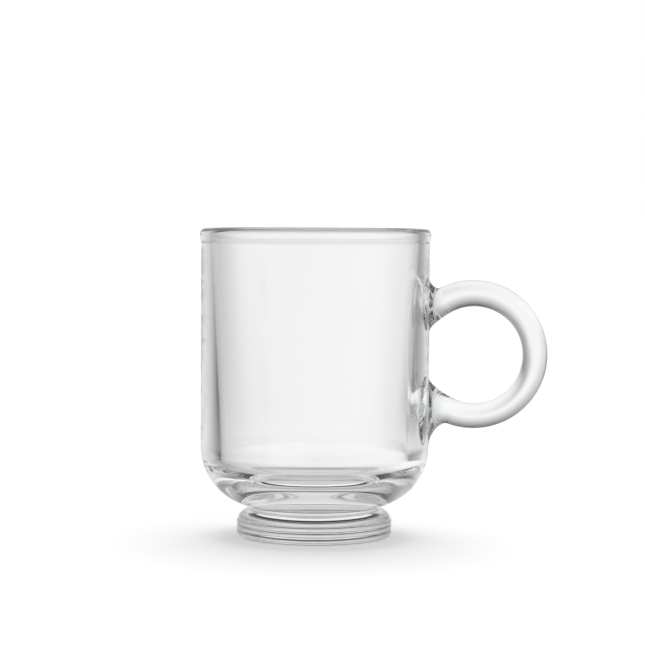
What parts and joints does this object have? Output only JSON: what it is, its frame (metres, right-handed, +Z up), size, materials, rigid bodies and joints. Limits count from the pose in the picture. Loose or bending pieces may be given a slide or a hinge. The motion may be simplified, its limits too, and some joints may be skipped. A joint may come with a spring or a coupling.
{
  "type": "coffee glass",
  "caption": "Clear glass coffee mug: straight thick-walled bowl with a round heel on a short ribbed foot, with a ring handle fused to its wall.",
  "frame": {"origin": "on the table, under the middle of the glass with its handle", "axes": "+X from the bowl towards the ring handle, +Y across the handle, +Z up out of the mouth"},
  "size_m": [0.1189, 0.079, 0.1053],
  "materials": {
    "bowl_glass": "fire-polished clear soda-lime glass",
    "foot_glass": "pressed clear soda-lime glass with fine ridges",
    "handle_glass": "fire-polished clear soda-lime glass"
  },
  "bodies": {
    "root": {"bowl": "bowl_glass", "foot": "foot_glass", "handle": "handle_glass"}
  },
  "joints": []
}
